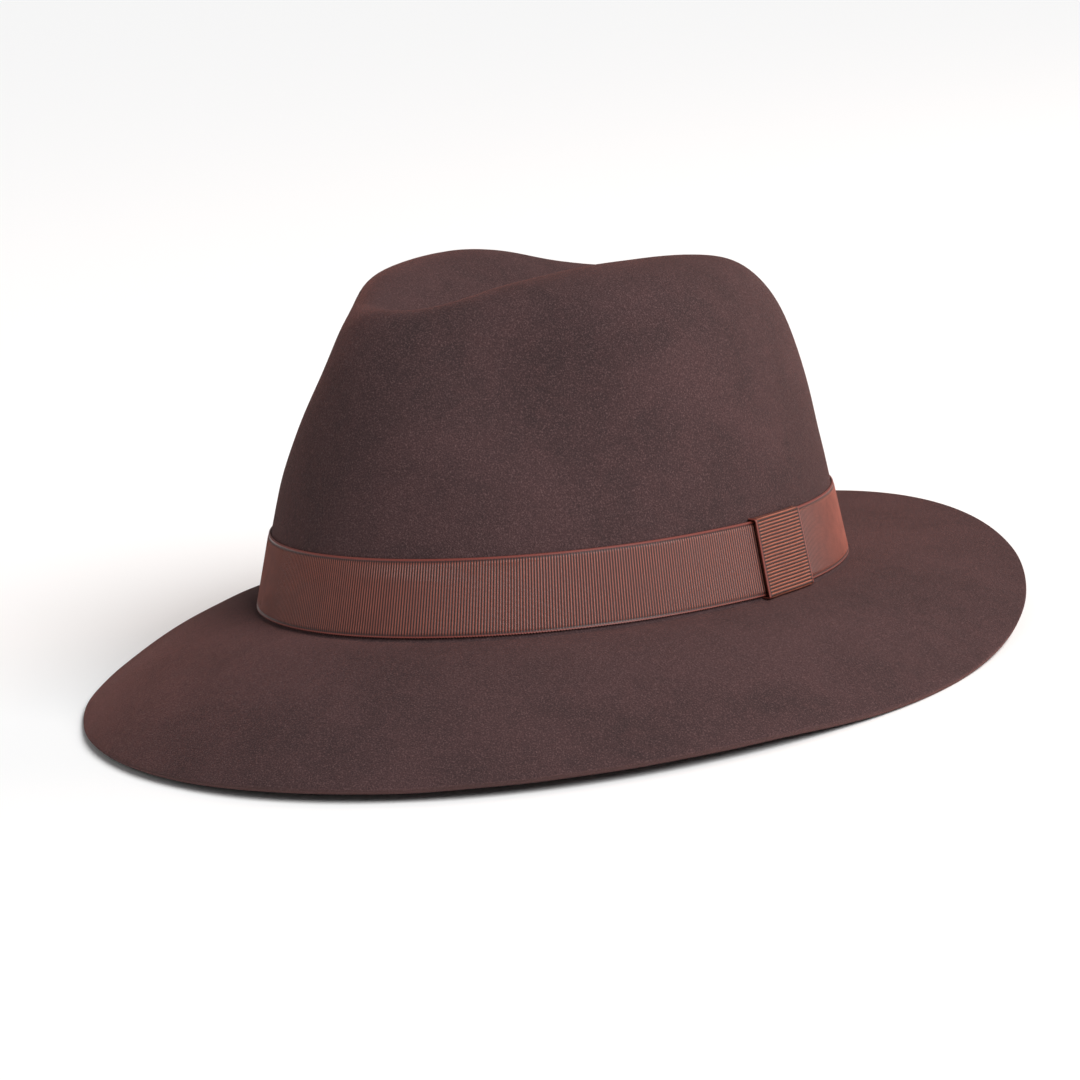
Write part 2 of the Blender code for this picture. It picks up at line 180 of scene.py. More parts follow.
# Rows of the band in millimetres, up from its foot and down from its top
BAND_ROWS_UP = np.array([0.0, 0.25, 0.55, 0.95, 1.3, 1.7, 3.0, 6.0, 9.0, 12.0, 15.0, 18.0, 21.0])
BAND_ROWS_DOWN = np.array([1.9, 1.5, 1.15, 0.75, 0.4, 0.15, 0.0])

# How finely the felt is meshed
FELT_TURNS = 336
BRIM_ROWS = 44
BREAK_ROWS = 6
CROWN_ROWS = 84

# Slow waves that a hand-blocked felt keeps: height, wavelength and direction of each
FELT_WAVES = (
    (0.00016, 0.061, (0.8, 0.5, 0.3)),
    (0.00012, 0.043, (-0.4, 0.9, 0.2)),
    (0.00010, 0.034, (0.6, -0.3, 0.8)),
    (0.00007, 0.023, (0.3, 0.7, -0.6)),
)
CALM_BELOW = 0.030
CALM_RUN = 0.015


def once_round(count):
    """Evenly spaced turns, once round."""
    return FULL_TURN * np.arange(count) / count


def ease(share):
    """A smooth step from 0 to 1 as the share goes from 0 to 1."""
    share = np.clip(share, 0.0, 1.0)
    return share * share * (3 - 2 * share)


def unit(vectors):
    """The same directions with length 1."""
    return vectors / np.linalg.norm(vectors, axis=-1, keepdims=True)


def stacked(x, y, z):
    """Three arrays as one array of points."""
    return np.stack(np.broadcast_arrays(x, y, z), axis=-1)


# ---- The hat's shape ----


def tip_height(x, y):
    """Height of the crown's top before it is dented: a hair higher in front, lower at the back."""
    front = FRONT_FALL * ease((-y - FRONT_FALL_START) / FRONT_FALL_RUN)
    back = (BACK_FALL - BACK_CANT * x) * ease(y / BACK_FALL_RUN)
    return CROWN_HEIGHT - front - back + TOP_CANT * x


def dent_depth(x, y):
    """Depth of the long dent at a place on the top; its front is slightly the wider end."""
    along = ease((y - DENT_FRONT) / DENT_FRONT_RUN) * (1 - ease((y - DENT_BACK) / DENT_BACK_RUN))
    spread = np.clip((y - DENT_SPREAD_START) / DENT_SPREAD_RUN, 0.0, 1.0)
    half_width = DENT_FRONT_SPREAD + (DENT_BACK_SPREAD - DENT_FRONT_SPREAD) * spread
    return DENT_DEPTH * along * np.exp(-((x / half_width) ** 2))


def pinch_depth(x, y, z):
    """How far the front pinches push the side in, with the side's own sign."""
    near = np.exp(-(((y - PINCH_Y) / PINCH_LENGTH) ** 2) - ((z - PINCH_HEIGHT) / PINCH_TALL) ** 2)
    share = np.where(x < 0, RIGHT_PINCH_SHARE, 1.0)
    return PINCH_DEPTH * share * near * np.tanh(x / PINCH_BLEND)


def crown_point(turn, rise):
    """Outer face of the crown: rise runs from 0 at the brim break to 1 at the middle of the top."""
    angle = rise * math.pi / 2
    level = np.maximum(np.cos(angle), 0.0)
    size = (level**FULLNESS + np.abs(np.sin(angle)) ** FULLNESS) ** (1 / FULLNESS)
    across = level / size
    up = np.sin(angle) / size
    side = np.sin(turn)
    ahead = np.cos(turn)
    end_taper = np.where(ahead > 0, FRONT_TAPER, BACK_TAPER)
    x = HALF_WIDTH * (1 - SIDE_TAPER * up) * side * across
    y = -HALF_LENGTH * (1 - end_taper * up) * ahead * across
    top = tip_height(x, y)
    z = top * up
    flare = BREAK_FLARE * np.exp(-z / FLARE_HEIGHT)
    x = x + flare * side
    y = y - flare * ahead
    high = np.clip((z / top - DENT_STARTS_AT) / (1 - DENT_STARTS_AT), 0.0, 1.0)
    z = z - dent_depth(x, y) * high
    x = x - pinch_depth(x, y, z)
    return stacked(x, y, z)


def oval_normal(turn):
    """Level unit vector that points out of the head oval."""
    return unit(stacked(np.sin(turn) / HALF_WIDTH, -np.cos(turn) / HALF_LENGTH, 0.0))


def brim_width(turn):
    """Width of the brim at a turn."""
    ahead = np.cos(turn)
    return BRIM_SIDE * np.sin(turn) ** 2 + np.where(ahead > 0, BRIM_FRONT, BRIM_BACK) * ahead**2


def brim_point(turn, reach):
    """Upper face of the brim: reach runs from 0 at the break to 1 at the edge."""
    side = np.sin(turn)
    ahead = np.cos(turn)
    edge = EDGE_SIDE * side**2 + np.where(ahead > 0, EDGE_FRONT, EDGE_BACK) * ahead**2
    edge = edge + EDGE_CORNER * (1 - np.cos(4 * turn)) / 2 + EDGE_CANT * side
    edge = edge + EDGE_FRONT_CANT * side * np.maximum(ahead, 0.0)
    point = crown_point(turn, 0.0) + oval_normal(turn) * (brim_width(turn) * reach)[..., None]
    point[..., 2] += edge * reach**BRIM_CURVE
    return point


def rise_at(turn, height):
    """The rise at which the crown's side reaches a height, by halving."""
    low = np.zeros(np.broadcast(turn, height).shape)
    high = low + 0.5
    for _ in range(26):
        middle = (low + high) / 2
        below = crown_point(turn, middle)[..., 2] < height
        low = np.where(below, middle, low)
        high = np.where(below, high, middle)
    return low


def wall_point(turn, height, out):
    """A point at a height on the crown's side, moved level by out from the felt's outer face."""
    foot = crown_point(turn, rise_at(turn, np.maximum(height, 0.0)))
    foot[..., 2] = height
    return foot + oval_normal(turn) * np.asarray(out)[..., None]


def grid_normals(points):
    """Outward normals of rows of points that run round the hat, edge first and tip last."""
    along = np.roll(points, -1, axis=1) - np.roll(points, 1, axis=1)
    upward = np.gradient(points, axis=0)
    return unit(np.cross(along, upward))


def felt_waves(points):
    """Height of the felt's slow waves at its points, calm where the band hugs the crown."""
    height = np.zeros(points.shape[:-1])
    for number, (swell, length, direction) in enumerate(FELT_WAVES):
        phase = points @ (np.array(direction) * FULL_TURN / length)
        height += swell * np.sin(phase + number * 1.7)
    off_band = ease((points[..., 2] - CALM_BELOW) / CALM_RUN)
    off_break = ease((-points[..., 2] - 0.002) / 0.006)
    return height * np.maximum(off_band, off_break)


def crown_shell(rises, depth, turns=FELT_TURNS):
    """Rows of points at a depth under the crown's waved outer face."""
    turn = once_round(turns)
    points = crown_point(turn[None, :], np.asarray(rises)[:, None])
    normals = grid_normals(points)
    return points + normals * (felt_waves(points) - depth)[..., None]


# ---- Placing the hat ----

stand = REST_TILT.to_matrix().to_4x4()


def settle(points):
    """Moves the stand so that the hat's lowest point is on the floor, over the CAD felt's middle."""
    placed = points.reshape(-1, 3) @ np.array(stand.to_3x3()).T
    low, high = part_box("felt_body")
    middle = (placed.min(axis=0) + placed.max(axis=0)) / 2
    stand.translation = (
        (low.x + high.x) / 2 - middle[0],
        (low.y + high.y) / 2 - middle[1],
        -placed[:, 2].min(),
    )


def in_row(points):
    """Points of the hat's own frame, in the row frame."""
    turned = np.array(stand.to_3x3())
    return np.asarray(points) @ turned.T + np.array(stand.translation)


# ---- Meshes ----


def solid_volume(points, faces):
    """Signed volume inside quads, positive when they face outwards."""
    a, b, c, d = (points[faces[:, corner]] for corner in range(4))
    return (np.cross(b, c) * a).sum() + (np.cross(c, d) * a).sum()


def grid_form(name, grid, wrap_rows, wrap_cols, along, down, poles=()):
    """A closed solid over a grid of points, with open ends capped. The "lay" map keeps real
    lengths in metres along the columns and down the rows. A pole closes one end row to a point."""
    rows, cols = grid.shape[:2]
    row, col = np.meshgrid(
        np.arange(rows if wrap_rows else rows - 1),
        np.arange(cols if wrap_cols else cols - 1),
        indexing="ij",
    )
    row = row.ravel()
    col = col.ravel()
    corners = [(row, col), (row, col + 1), (row + 1, col + 1), (row + 1, col)]
    faces = np.stack([(r % rows) * cols + c % cols for r, c in corners], axis=1)
    lay = np.stack([np.stack([along[c], down[r]], axis=-1) for r, c in corners], axis=1)
    points = grid.reshape(-1, 3)
    if solid_volume(points - points.mean(axis=0), faces) < 0:
        faces = faces[:, ::-1]
        lay = lay[:, ::-1]
    polygons = faces.tolist()
    maps = lay.reshape(-1, 2).tolist()
    points = points.tolist()
    for end_row, tip in poles:
        points.append(list(tip))
        ring = end_row % rows
        for c in range(cols):
            fan = [ring * cols + c, ring * cols + (c + 1) % cols, len(points) - 1]
            polygons.append(fan if end_row < 0 else fan[::-1])
            maps += [[along[c], down[ring]]] * 3
    if not wrap_cols:
        for end in (0, cols - 1):
            cap = [r * cols + end for r in range(rows)]
            polygons.append(cap if end == 0 else cap[::-1])
            maps += [[along[end], down[r]] for r in range(rows)]
    mesh = bpy.data.meshes.new(name)
    mesh.from_pydata(in_row(points).tolist(), [], polygons)
    layer = mesh.uv_layers.new(name="lay")
    layer.data.foreach_set("uv", np.array(maps, np.float32).ravel())
    mesh.validate()
    return mesh


def place_piece(name, mesh, material, slot, *nodes, sharp=60):
    """Puts a mesh in the scene as a piece that stands for CAD nodes and rides with the hat."""
    mesh.shade_smooth()
    mesh.set_sharp_from_angle(angle=math.radians(sharp))
    piece = bpy.data.objects.new(name, mesh)
    bpy.context.scene.collection.objects.link(piece)
    mesh.materials.append(material)
    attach(piece, "root")
    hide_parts(*nodes)
    return piece


def arc_lengths(points):
    """Distance along a line of points, from its start."""
    steps = np.linalg.norm(np.diff(points, axis=0), axis=1)
    return np.concatenate([[0.0], np.cumsum(steps)])


def strip_section(path, thickness, relief=None):
    """Closed section round a path of (height, out) pairs: its inner side, then its outer side
    from last to first, which stands out further by the relief."""
    path = np.asarray(path, float)
    ahead = unit(np.gradient(path, axis=0))
    outward = np.stack([-ahead[:, 1], ahead[:, 0]], axis=1)
    relief = np.zeros(len(path)) if relief is None else relief
    half = np.broadcast_to(thickness, len(path)) / 2
    inner = path - outward * half[:, None]
    outer = path + outward * (half + relief)[:, None]
    return np.concatenate([inner, outer[::-1]])


# ---- Materials ----


def linear(colour):
    """An sRGB hex colour as linear light, with full alpha."""
    levels = [int(colour[place : place + 2], 16) / 255 for place in (1, 3, 5)]
    light = [c / 12.92 if c <= 0.04045 else ((c + 0.055) / 1.055) ** 2.4 for c in levels]
    return (*light, 1.0)


def add_node(tree, kind, inputs=None, **settings):
    """Adds a node with its settings. An input is a value, or the socket that feeds it."""
    node = tree.nodes.new(kind)
    for name, value in settings.items():
        setattr(node, name, value)
    for name, value in (inputs or {}).items():
        if isinstance(value, bpy.types.NodeSocket):
            tree.links.new(value, node.inputs[name])
        else:
            node.inputs[name].default_value = value
    return node


def new_material(name, **sockets):
    """A material with one Principled shader whose sockets hold the given values."""
    material = bpy.data.materials.new(name)
    material.use_nodes = True
    tree = material.node_tree
    tree.nodes.clear()
    named = {key.replace("_", " "): value for key, value in sockets.items()}
    shader = add_node(tree, "ShaderNodeBsdfPrincipled", named)
    add_node(tree, "ShaderNodeOutputMaterial", {"Surface": shader.outputs[0]})
    return material, tree, shader


def noise(tree, place, grain, detail=2.0, **sockets):
    """Noise whose largest spots are about one grain across, in metres."""
    inputs = {"Vector": place, "Scale": 1 / grain, "Detail": detail, **sockets}
    return add_node(tree, "ShaderNodeTexNoise", inputs).outputs[0]


def fit(tree, value, low, high, to_low=0.0, to_high=1.0):
    """Spreads a value's range onto another range, held at its ends."""
    inputs = {0: value, 1: low, 2: high, 3: to_low, 4: to_high}
    return add_node(tree, "ShaderNodeMapRange", inputs, clamp=True).outputs[0]


def blend_colours(tree, share, first, second):
    """Goes from the first colour to the second as the share goes from 0 to 1."""
    inputs = {0: share, 6: first, 7: second}
    return add_node(tree, "ShaderNodeMix", inputs, data_type="RGBA").outputs[2]


def combine(tree, operation, first, second):
    """One step of arithmetic on two values."""
    return add_node(tree, "ShaderNodeMath", {0: first, 1: second}, operation=operation).outputs[0]


def bump(tree, height, distance, strength=1.0, under=None):
    """A bump whose full height is a distance in metres."""
    inputs = {"Height": height, "Distance": distance, "Strength": strength}
    if under is not None:
        inputs["Normal"] = under
    return add_node(tree, "ShaderNodeBump", inputs).outputs[0]


def lay_axes(tree):
    """Lengths in metres along and down a woven piece."""
    lay = add_node(tree, "ShaderNodeUVMap", uv_map="lay").outputs[0]
    axes = add_node(tree, "ShaderNodeSeparateXYZ", {0: lay})
    return axes.outputs[0], axes.outputs[1]


def ridges(tree, along, pitch):
    """A wave from 0 in each valley to 1 on each ridge, one ridge a pitch."""
    phase = combine(tree, "MULTIPLY", along, FULL_TURN / pitch)
    wave = combine(tree, "COSINE", phase, 0.0)
    return fit(tree, wave, -1.0, 1.0)


def fur_felt():
    """Rabbit-fur felt, pounced to a short velour nap: matt and dark face on, with a soft reddish
    bloom at a slant, cloudy where the nap was brushed two ways, and specked with guard hairs."""
    material, tree, shader = new_material(
        "brown fur felt",
        Roughness=0.92,
        Specular_IOR_Level=0.22,
        Sheen_Weight=0.30,
        Sheen_Roughness=0.25,
        Sheen_Tint=linear("#c9796a"),
    )
    place = add_node(tree, "ShaderNodeTexCoord").outputs["Object"]
    clouds = noise(tree, place, 0.034, 3.0, Distortion=0.5)
    brushed = noise(tree, place, 0.0065, 4.0, Roughness=0.62, Distortion=0.8)
    # The nap's hairs are finer than the eye can part, so they are drawn as 0.5 mm flecks
    flecks = noise(tree, place, 0.0005, 3.0, Roughness=0.7)
    hairs = noise(tree, place, 0.00033, 2.0)
    cloud_share = fit(tree, clouds, 0.36, 0.64)
    colour = blend_colours(tree, cloud_share, linear("#352627"), linear("#402d2e"))
    colour = blend_colours(tree, fit(tree, brushed, 0.35, 0.75, 0.0, 0.45), colour, linear("#4d3737"))
    colour = blend_colours(tree, fit(tree, flecks, 0.52, 0.74, 0.0, 0.48), colour, linear("#7d6160"))
    colour = blend_colours(tree, fit(tree, flecks, 0.46, 0.28, 0.0, 0.6), colour, linear("#1d1314"))
    # Painted highlight: the felt is lighter within 1.6 mm of the brim's cut edge, where the sheen catches
    # it
    down = lay_axes(tree)[1]
    edge = fit(tree, combine(tree, "ABSOLUTE", down, 0.0), 0.0, 0.0016, 0.55, 0.0)
    colour = blend_colours(tree, edge, colour, linear("#5c403d"))
    tree.links.new(colour, shader.inputs["Base Color"])
    tree.links.new(fit(tree, brushed, 0.3, 0.7, 0.86, 0.98), shader.inputs["Roughness"])
    nap = combine(tree, "ADD", combine(tree, "MULTIPLY", flecks, 0.7), hairs)
    surface = bump(tree, brushed, 0.0005, 0.5)
    tree.links.new(bump(tree, nap, 0.00032, 0.85, surface), shader.inputs["Normal"])
    return material


def ribbed_ribbon(name, valley, ridge, pitch, breadth, level_ribs):
    """Grosgrain, a warp-faced ribbon with a fat weft: round ribs with a silky glint on each crest,
    fine warp threads over them, and a redder selvedge. Each rib's valley is darkened as painted
    shade, and a dark line just inside each selvedge is a painted shadow."""
    material, tree, shader = new_material(
        name,
        Roughness=0.4,
        Specular_IOR_Level=0.45,
        Sheen_Weight=0.06,
        Sheen_Roughness=0.4,
        Sheen_Tint=linear("#e8a08c"),
    )
    along, down = lay_axes(tree)
    across, thread_way = (down, along) if level_ribs else (along, down)
    place = add_node(tree, "ShaderNodeTexCoord").outputs["Object"]
    slubs = noise(tree, place, 0.004, 3.0)
    crest = fit(tree, ridges(tree, across, pitch), 0.25, 0.95)
    # The warp's silk ends are drawn at 0.35 mm, about twice as coarse as they are
    ends = ridges(tree, thread_way, 0.00035)
    off_middle = combine(tree, "ABSOLUTE", combine(tree, "SUBTRACT", thread_way, breadth / 2), 0.0)
    to_edge = combine(tree, "SUBTRACT", breadth / 2, off_middle)
    # Painted shade: the colour darkens to the valley colour in each rib's valley, over the ribs' real
    # relief
    colour = blend_colours(tree, crest, linear(valley), linear(ridge))
    colour = blend_colours(tree, fit(tree, slubs, 0.35, 0.7, 0.0, 0.35), colour, linear("#4e2722"))
    colour = blend_colours(tree, fit(tree, ends, 0.0, 1.0, 0.25, 0.0), colour, linear("#35191a"))
    # Painted shadow: a dark line just inside each corded selvedge
    inside = fit(tree, to_edge, 0.00125, 0.00095, 0.0, 0.75)
    colour = blend_colours(tree, inside, colour, linear("#2a1313"))
    corded = fit(tree, to_edge, 0.00065, 0.00045)
    colour = blend_colours(tree, corded, colour, linear("#6f332b"))
    tree.links.new(colour, shader.inputs["Base Color"])
    rough = fit(tree, combine(tree, "ADD", crest, slubs), 0.2, 1.6, 0.56, 0.34)
    tree.links.new(rough, shader.inputs["Roughness"])
    tree.links.new(bump(tree, ends, 0.00006, 0.6), shader.inputs["Normal"])
    return material


def sweatband_leather():
    """Sheepskin roan, dyed and lightly glazed: a soft shine broken by fine pores and creases."""
    material, tree, shader = new_material(
        "glazed roan leather", Roughness=0.45, Specular_IOR_Level=0.5, Coat_Weight=0.15,
        Coat_Roughness=0.35,
    )
    place = add_node(tree, "ShaderNodeTexCoord").outputs["Object"]
    pores = add_node(
        tree, "ShaderNodeTexVoronoi", {"Vector": place, "Scale": 1 / 0.0011, "Randomness": 0.9},
        feature="DISTANCE_TO_EDGE",
    ).outputs[0]
    creases = noise(tree, place, 0.006, 4.0, Distortion=0.6)
    tone = noise(tree, place, 0.03, 3.0)
    colour = blend_colours(tree, fit(tree, tone, 0.35, 0.65), linear("#6e4126"), linear("#8a5734"))
    colour = blend_colours(tree, fit(tree, pores, 0.0, 0.12, 0.6, 0.0), colour, linear("#4a2a18"))
    tree.links.new(colour, shader.inputs["Base Color"])
    tree.links.new(fit(tree, creases, 0.3, 0.7, 0.38, 0.58), shader.inputs["Roughness"])
    grain = combine(tree, "ADD", fit(tree, pores, 0.0, 0.25), creases)
    tree.links.new(bump(tree, grain, 0.00012, 0.7), shader.inputs["Normal"])
    return material


def lining_satin(name, shade, glow):
    """Viscose satin: long floats that glint along the warp, over a dull ground, with soft rumples
    that are bumped and also painted in shade and highlight.
    """
    material, tree, shader = new_material(
        name, Roughness=0.34, Specular_IOR_Level=0.6, Sheen_Weight=0.15, Sheen_Roughness=0.3,
        Anisotropic=0.35,
    )
    along, down = lay_axes(tree)
    place = add_node(tree, "ShaderNodeTexCoord").outputs["Object"]
    rumples = noise(tree, place, 0.018, 3.0, Distortion=0.4)
    # Satin's threads are about 0.1 mm apart and are drawn at 0.4 and 0.6 mm, where they still show
    floats = ridges(tree, along, 0.0004)
    picks = ridges(tree, down, 0.0006)
    weave = combine(tree, "MULTIPLY", floats, picks)
    # Painted shade and highlight: the colour goes from the shade colour to the glow colour over the rumples
    colour = blend_colours(tree, fit(tree, rumples, 0.35, 0.65), linear(shade), linear(glow))
    colour = blend_colours(tree, fit(tree, weave, 0.0, 1.0, 0.25, 0.0), colour, linear("#3a2b26"))
    tree.links.new(colour, shader.inputs["Base Color"])
    tree.links.new(fit(tree, rumples, 0.3, 0.7, 0.28, 0.42), shader.inputs["Roughness"])
    surface = bump(tree, rumples, 0.0008, 0.5)
    tree.links.new(bump(tree, weave, 0.00004, 0.5, surface), shader.inputs["Normal"])
    return material


def plain_weave(name, dark, light, pitch, roughness=0.8):
    """Cloth in plain weave: matt, with a small over-and-under check."""
    material, tree, shader = new_material(
        name, Roughness=roughness, Specular_IOR_Level=0.3, Sheen_Weight=0.2, Sheen_Roughness=0.5,
    )
    along, down = lay_axes(tree)
    warp = ridges(tree, along, pitch)
    weft = ridges(tree, down, pitch)
    check = combine(tree, "MULTIPLY", warp, weft)
    place = add_node(tree, "ShaderNodeTexCoord").outputs["Object"]
    fuzz = noise(tree, place, 0.0015, 3.0)
    colour = blend_colours(tree, check, linear(dark), linear(light))
    tree.links.new(colour, shader.inputs["Base Color"])
    rough = fit(tree, fuzz, 0.3, 0.7, roughness - 0.08, roughness + 0.08)
    tree.links.new(rough, shader.inputs["Roughness"])
    height = combine(tree, "ADD", check, combine(tree, "MULTIPLY", fuzz, 0.5))
    tree.links.new(bump(tree, height, 0.00010, 0.7), shader.inputs["Normal"])
    return material


def sewing_thread():
    """Three-ply polyester thread: a slight gloss that winds round with the twist."""
    material, tree, shader = new_material(
        "twisted sewing thread", Roughness=0.5, Specular_IOR_Level=0.45, Sheen_Weight=0.2,
    )
    along, down = lay_axes(tree)
    ply = ridges(tree, combine(tree, "ADD", along, down), 0.0009)
    place = add_node(tree, "ShaderNodeTexCoord").outputs["Object"]
    fuzz = noise(tree, place, 0.0012, 2.0)
    colour = blend_colours(tree, ply, linear("#7d5a3e"), linear("#b48f6c"))
    tree.links.new(colour, shader.inputs["Base Color"])
    tree.links.new(fit(tree, fuzz, 0.3, 0.7, 0.42, 0.62), shader.inputs["Roughness"])
    tree.links.new(bump(tree, ply, 0.00008, 0.8), shader.inputs["Normal"])
    return material


def reed_plastic():
    """Extruded polyethylene reed: milky, with faint drawing lines along it."""
    material, tree, shader = new_material("milky reed plastic", Roughness=0.35, IOR=1.51)
    down = lay_axes(tree)[1]
    lines = ridges(tree, down, 0.0006)
    place = add_node(tree, "ShaderNodeTexCoord").outputs["Object"]
    haze = noise(tree, place, 0.01, 2.0)
    colour = blend_colours(tree, haze, linear("#b9b3a4"), linear("#d2cdc0"))
    tree.links.new(colour, shader.inputs["Base Color"])
    tree.links.new(fit(tree, haze, 0.3, 0.7, 0.3, 0.45), shader.inputs["Roughness"])
    tree.links.new(bump(tree, lines, 0.00003, 0.5), shader.inputs["Normal"])
    return material


def studio_floor():
    """Seamless studio paper: pale and matt."""
    return new_material(
        "pale studio paper",
        Roughness=0.8,
        Specular_IOR_Level=0.2,
        Base_Color=linear("#f7f7f7"),
    )[0]


# ---- The felt ----


def felt_rows():
    """Rows of the felt's upper face from the brim's edge to just short of the tip."""
    turn = FULL_TURN * np.arange(FELT_TURNS)[None, :] / FELT_TURNS
    start = 2 * BREAK_RADIUS / BRIM_SIDE
    reach = start + (1 - EDGE_RADIUS / BRIM_SIDE - start) * np.linspace(1.0, 0.0, BRIM_ROWS)[:, None]
    brim = brim_point(turn, reach)
    curl = np.linspace(0.0, math.pi / 2, BREAK_ROWS)[:, None]
    height = BREAK_RADIUS * (1 - np.cos(curl)) + 0 * turn
    out = BREAK_RADIUS * (1 - np.sin(curl)) + 0 * turn
    corner = wall_point(turn + 0 * curl, height, out)
    first = rise_at(turn, BREAK_RADIUS * 1.6)
    rise = first + (1 - first) * np.linspace(0.0, 1.0, CROWN_ROWS + 1)[:-1, None]
    crown = crown_point(turn, rise)
    return np.concatenate([brim, corner, crown])


def felt_grid():
    """The whole felt: lining side from tip to edge, the cut edge, then the upper face."""
    upper = felt_rows()
    normals = grid_normals(upper)
    upper = upper + normals * felt_waves(upper)[..., None]
    normals = grid_normals(upper)
    lower = upper - normals * FELT
    outward = unit(upper[0] - upper[1])
    facing = normals[0]
    edge = []
    for swing in np.linspace(0.0, math.pi / 2, 4)[1:]:
        step = outward * math.sin(swing) + facing * math.cos(swing)
        edge.append(upper[0] - facing * EDGE_RADIUS + step * EDGE_RADIUS)
    under = []
    for swing in np.linspace(math.pi / 2, 0.0, 4)[:-1]:
        step = outward * math.sin(swing) - facing * math.cos(swing)
        under.append(lower[0] + facing * EDGE_RADIUS + step * EDGE_RADIUS)
    middle = (edge[-1] + under[0]) / 2
    rim = np.stack([*under[::-1], middle, *edge[::-1]])
    grid = np.concatenate([lower[::-1], rim, upper])
    lengths = arc_lengths(grid[:, 0])
    return grid, lengths - lengths[len(lower) + len(under)]


def make_felt(material):
    """Brim and crown, blocked from one felt hood."""
    grid, down = felt_grid()
    settle(grid)
    along = FULL_TURN * (HALF_WIDTH + HALF_LENGTH) / 2 * np.arange(FELT_TURNS + 1) / FELT_TURNS
    tip = crown_point(np.array(0.0), np.array(1.0))
    under_tip = tip - np.array([0.0, 0.0, FELT])
    poles = ((0, under_tip), (-1, tip))
    mesh = grid_form("felt_hood", grid, False, True, along, down, poles)
    place_piece("felt_hood", mesh, material, "fur_felt", "felt_body", sharp=80)


# ---- Ribbon band and keeper ----


def band_buckle(turn, height):
    """Shallow level folds where the band is drawn in beside its keeper."""
    near = np.exp(-(((turn - KEEPER_TURN + KEEPER_WIDTH / 2 + BUCKLE_OFFSET) / BUCKLE_SPREAD) ** 2))
    share = (height - BAND_FOOT) / (BAND_TOP - BAND_FOOT)
    folds = np.sin(FULL_TURN * (1.55 * share + 0.10)) * np.sin(math.pi * share)
    return BUCKLE_DEPTH * near * folds


def make_band(material):
    """Grosgrain ribbon once round the crown: ribs, corded selvedges and a looped lower edge."""
    start = KEEPER_TURN - LAP_HALF
    swept_all = FULL_TURN + 2 * LAP_HALF
    guide = np.linspace(0.0, swept_all, 721)
    line = wall_point(start + guide, 0 * guide + BAND_FOOT, 0 * guide)
    lengths = arc_lengths(line)
    count = int(round(lengths[-1] / RIB_PITCH)) * 4
    along = np.linspace(0.0, lengths[-1], count + 1)
    swept = np.interp(along, lengths, guide)
    turn = start + swept
    tall = BAND_TOP - BAND_FOOT
    heights = np.concatenate([BAND_ROWS_UP * MM, tall - BAND_ROWS_DOWN * MM])
    near_edge = np.minimum(heights, tall - heights)
    rib_share = ease((near_edge - RIBS_START) / RIBS_RUN)
    bead = SELVEDGE_BEAD * np.exp(-(((near_edge - SELVEDGE_MIDDLE) / SELVEDGE_SPREAD) ** 2))
    crest = (1 + np.cos(FULL_TURN * along / RIB_PITCH)) / 2
    climb = ease((swept - FULL_TURN + LAP_RISE) / LAP_RISE)
    inner_out = GAP + (RIBBON + GAP) * climb
    # Each rib's weft turns in a small loop past the lower selvedge
    looped = LOOP_REACH * np.cos(FULL_TURN * along / RIB_PITCH)
    rows = []
    for number, height in enumerate(heights):
        level = BAND_FOOT + height + (looped * (number < 2))
        buckle = band_buckle(turn, level)
        out = inner_out + RIBBON - RIB_DEPTH + crest * RIB_DEPTH * rib_share[number] + bead[number]
        if number in (0, len(heights) - 1):
            out = out - RIBBON / 2
        rows.append(wall_point(turn, level, out + np.maximum(buckle, -BUCKLE_SINK)))
    for height in (tall, tall / 2, 0.0):
        level = BAND_FOOT + height + 0 * along
        rows.append(wall_point(turn, level, inner_out + np.maximum(band_buckle(turn, level), 0.0)))
    grid = np.stack(rows)
    down = np.concatenate([heights, [tall, tall / 2, 0.0, -RIBBON]])
    mesh = grid_form("ribbon_band", grid, True, False, along, down)
    band = place_piece("ribbon_band", mesh, material, "ribbed_ribbon", "hat_band")


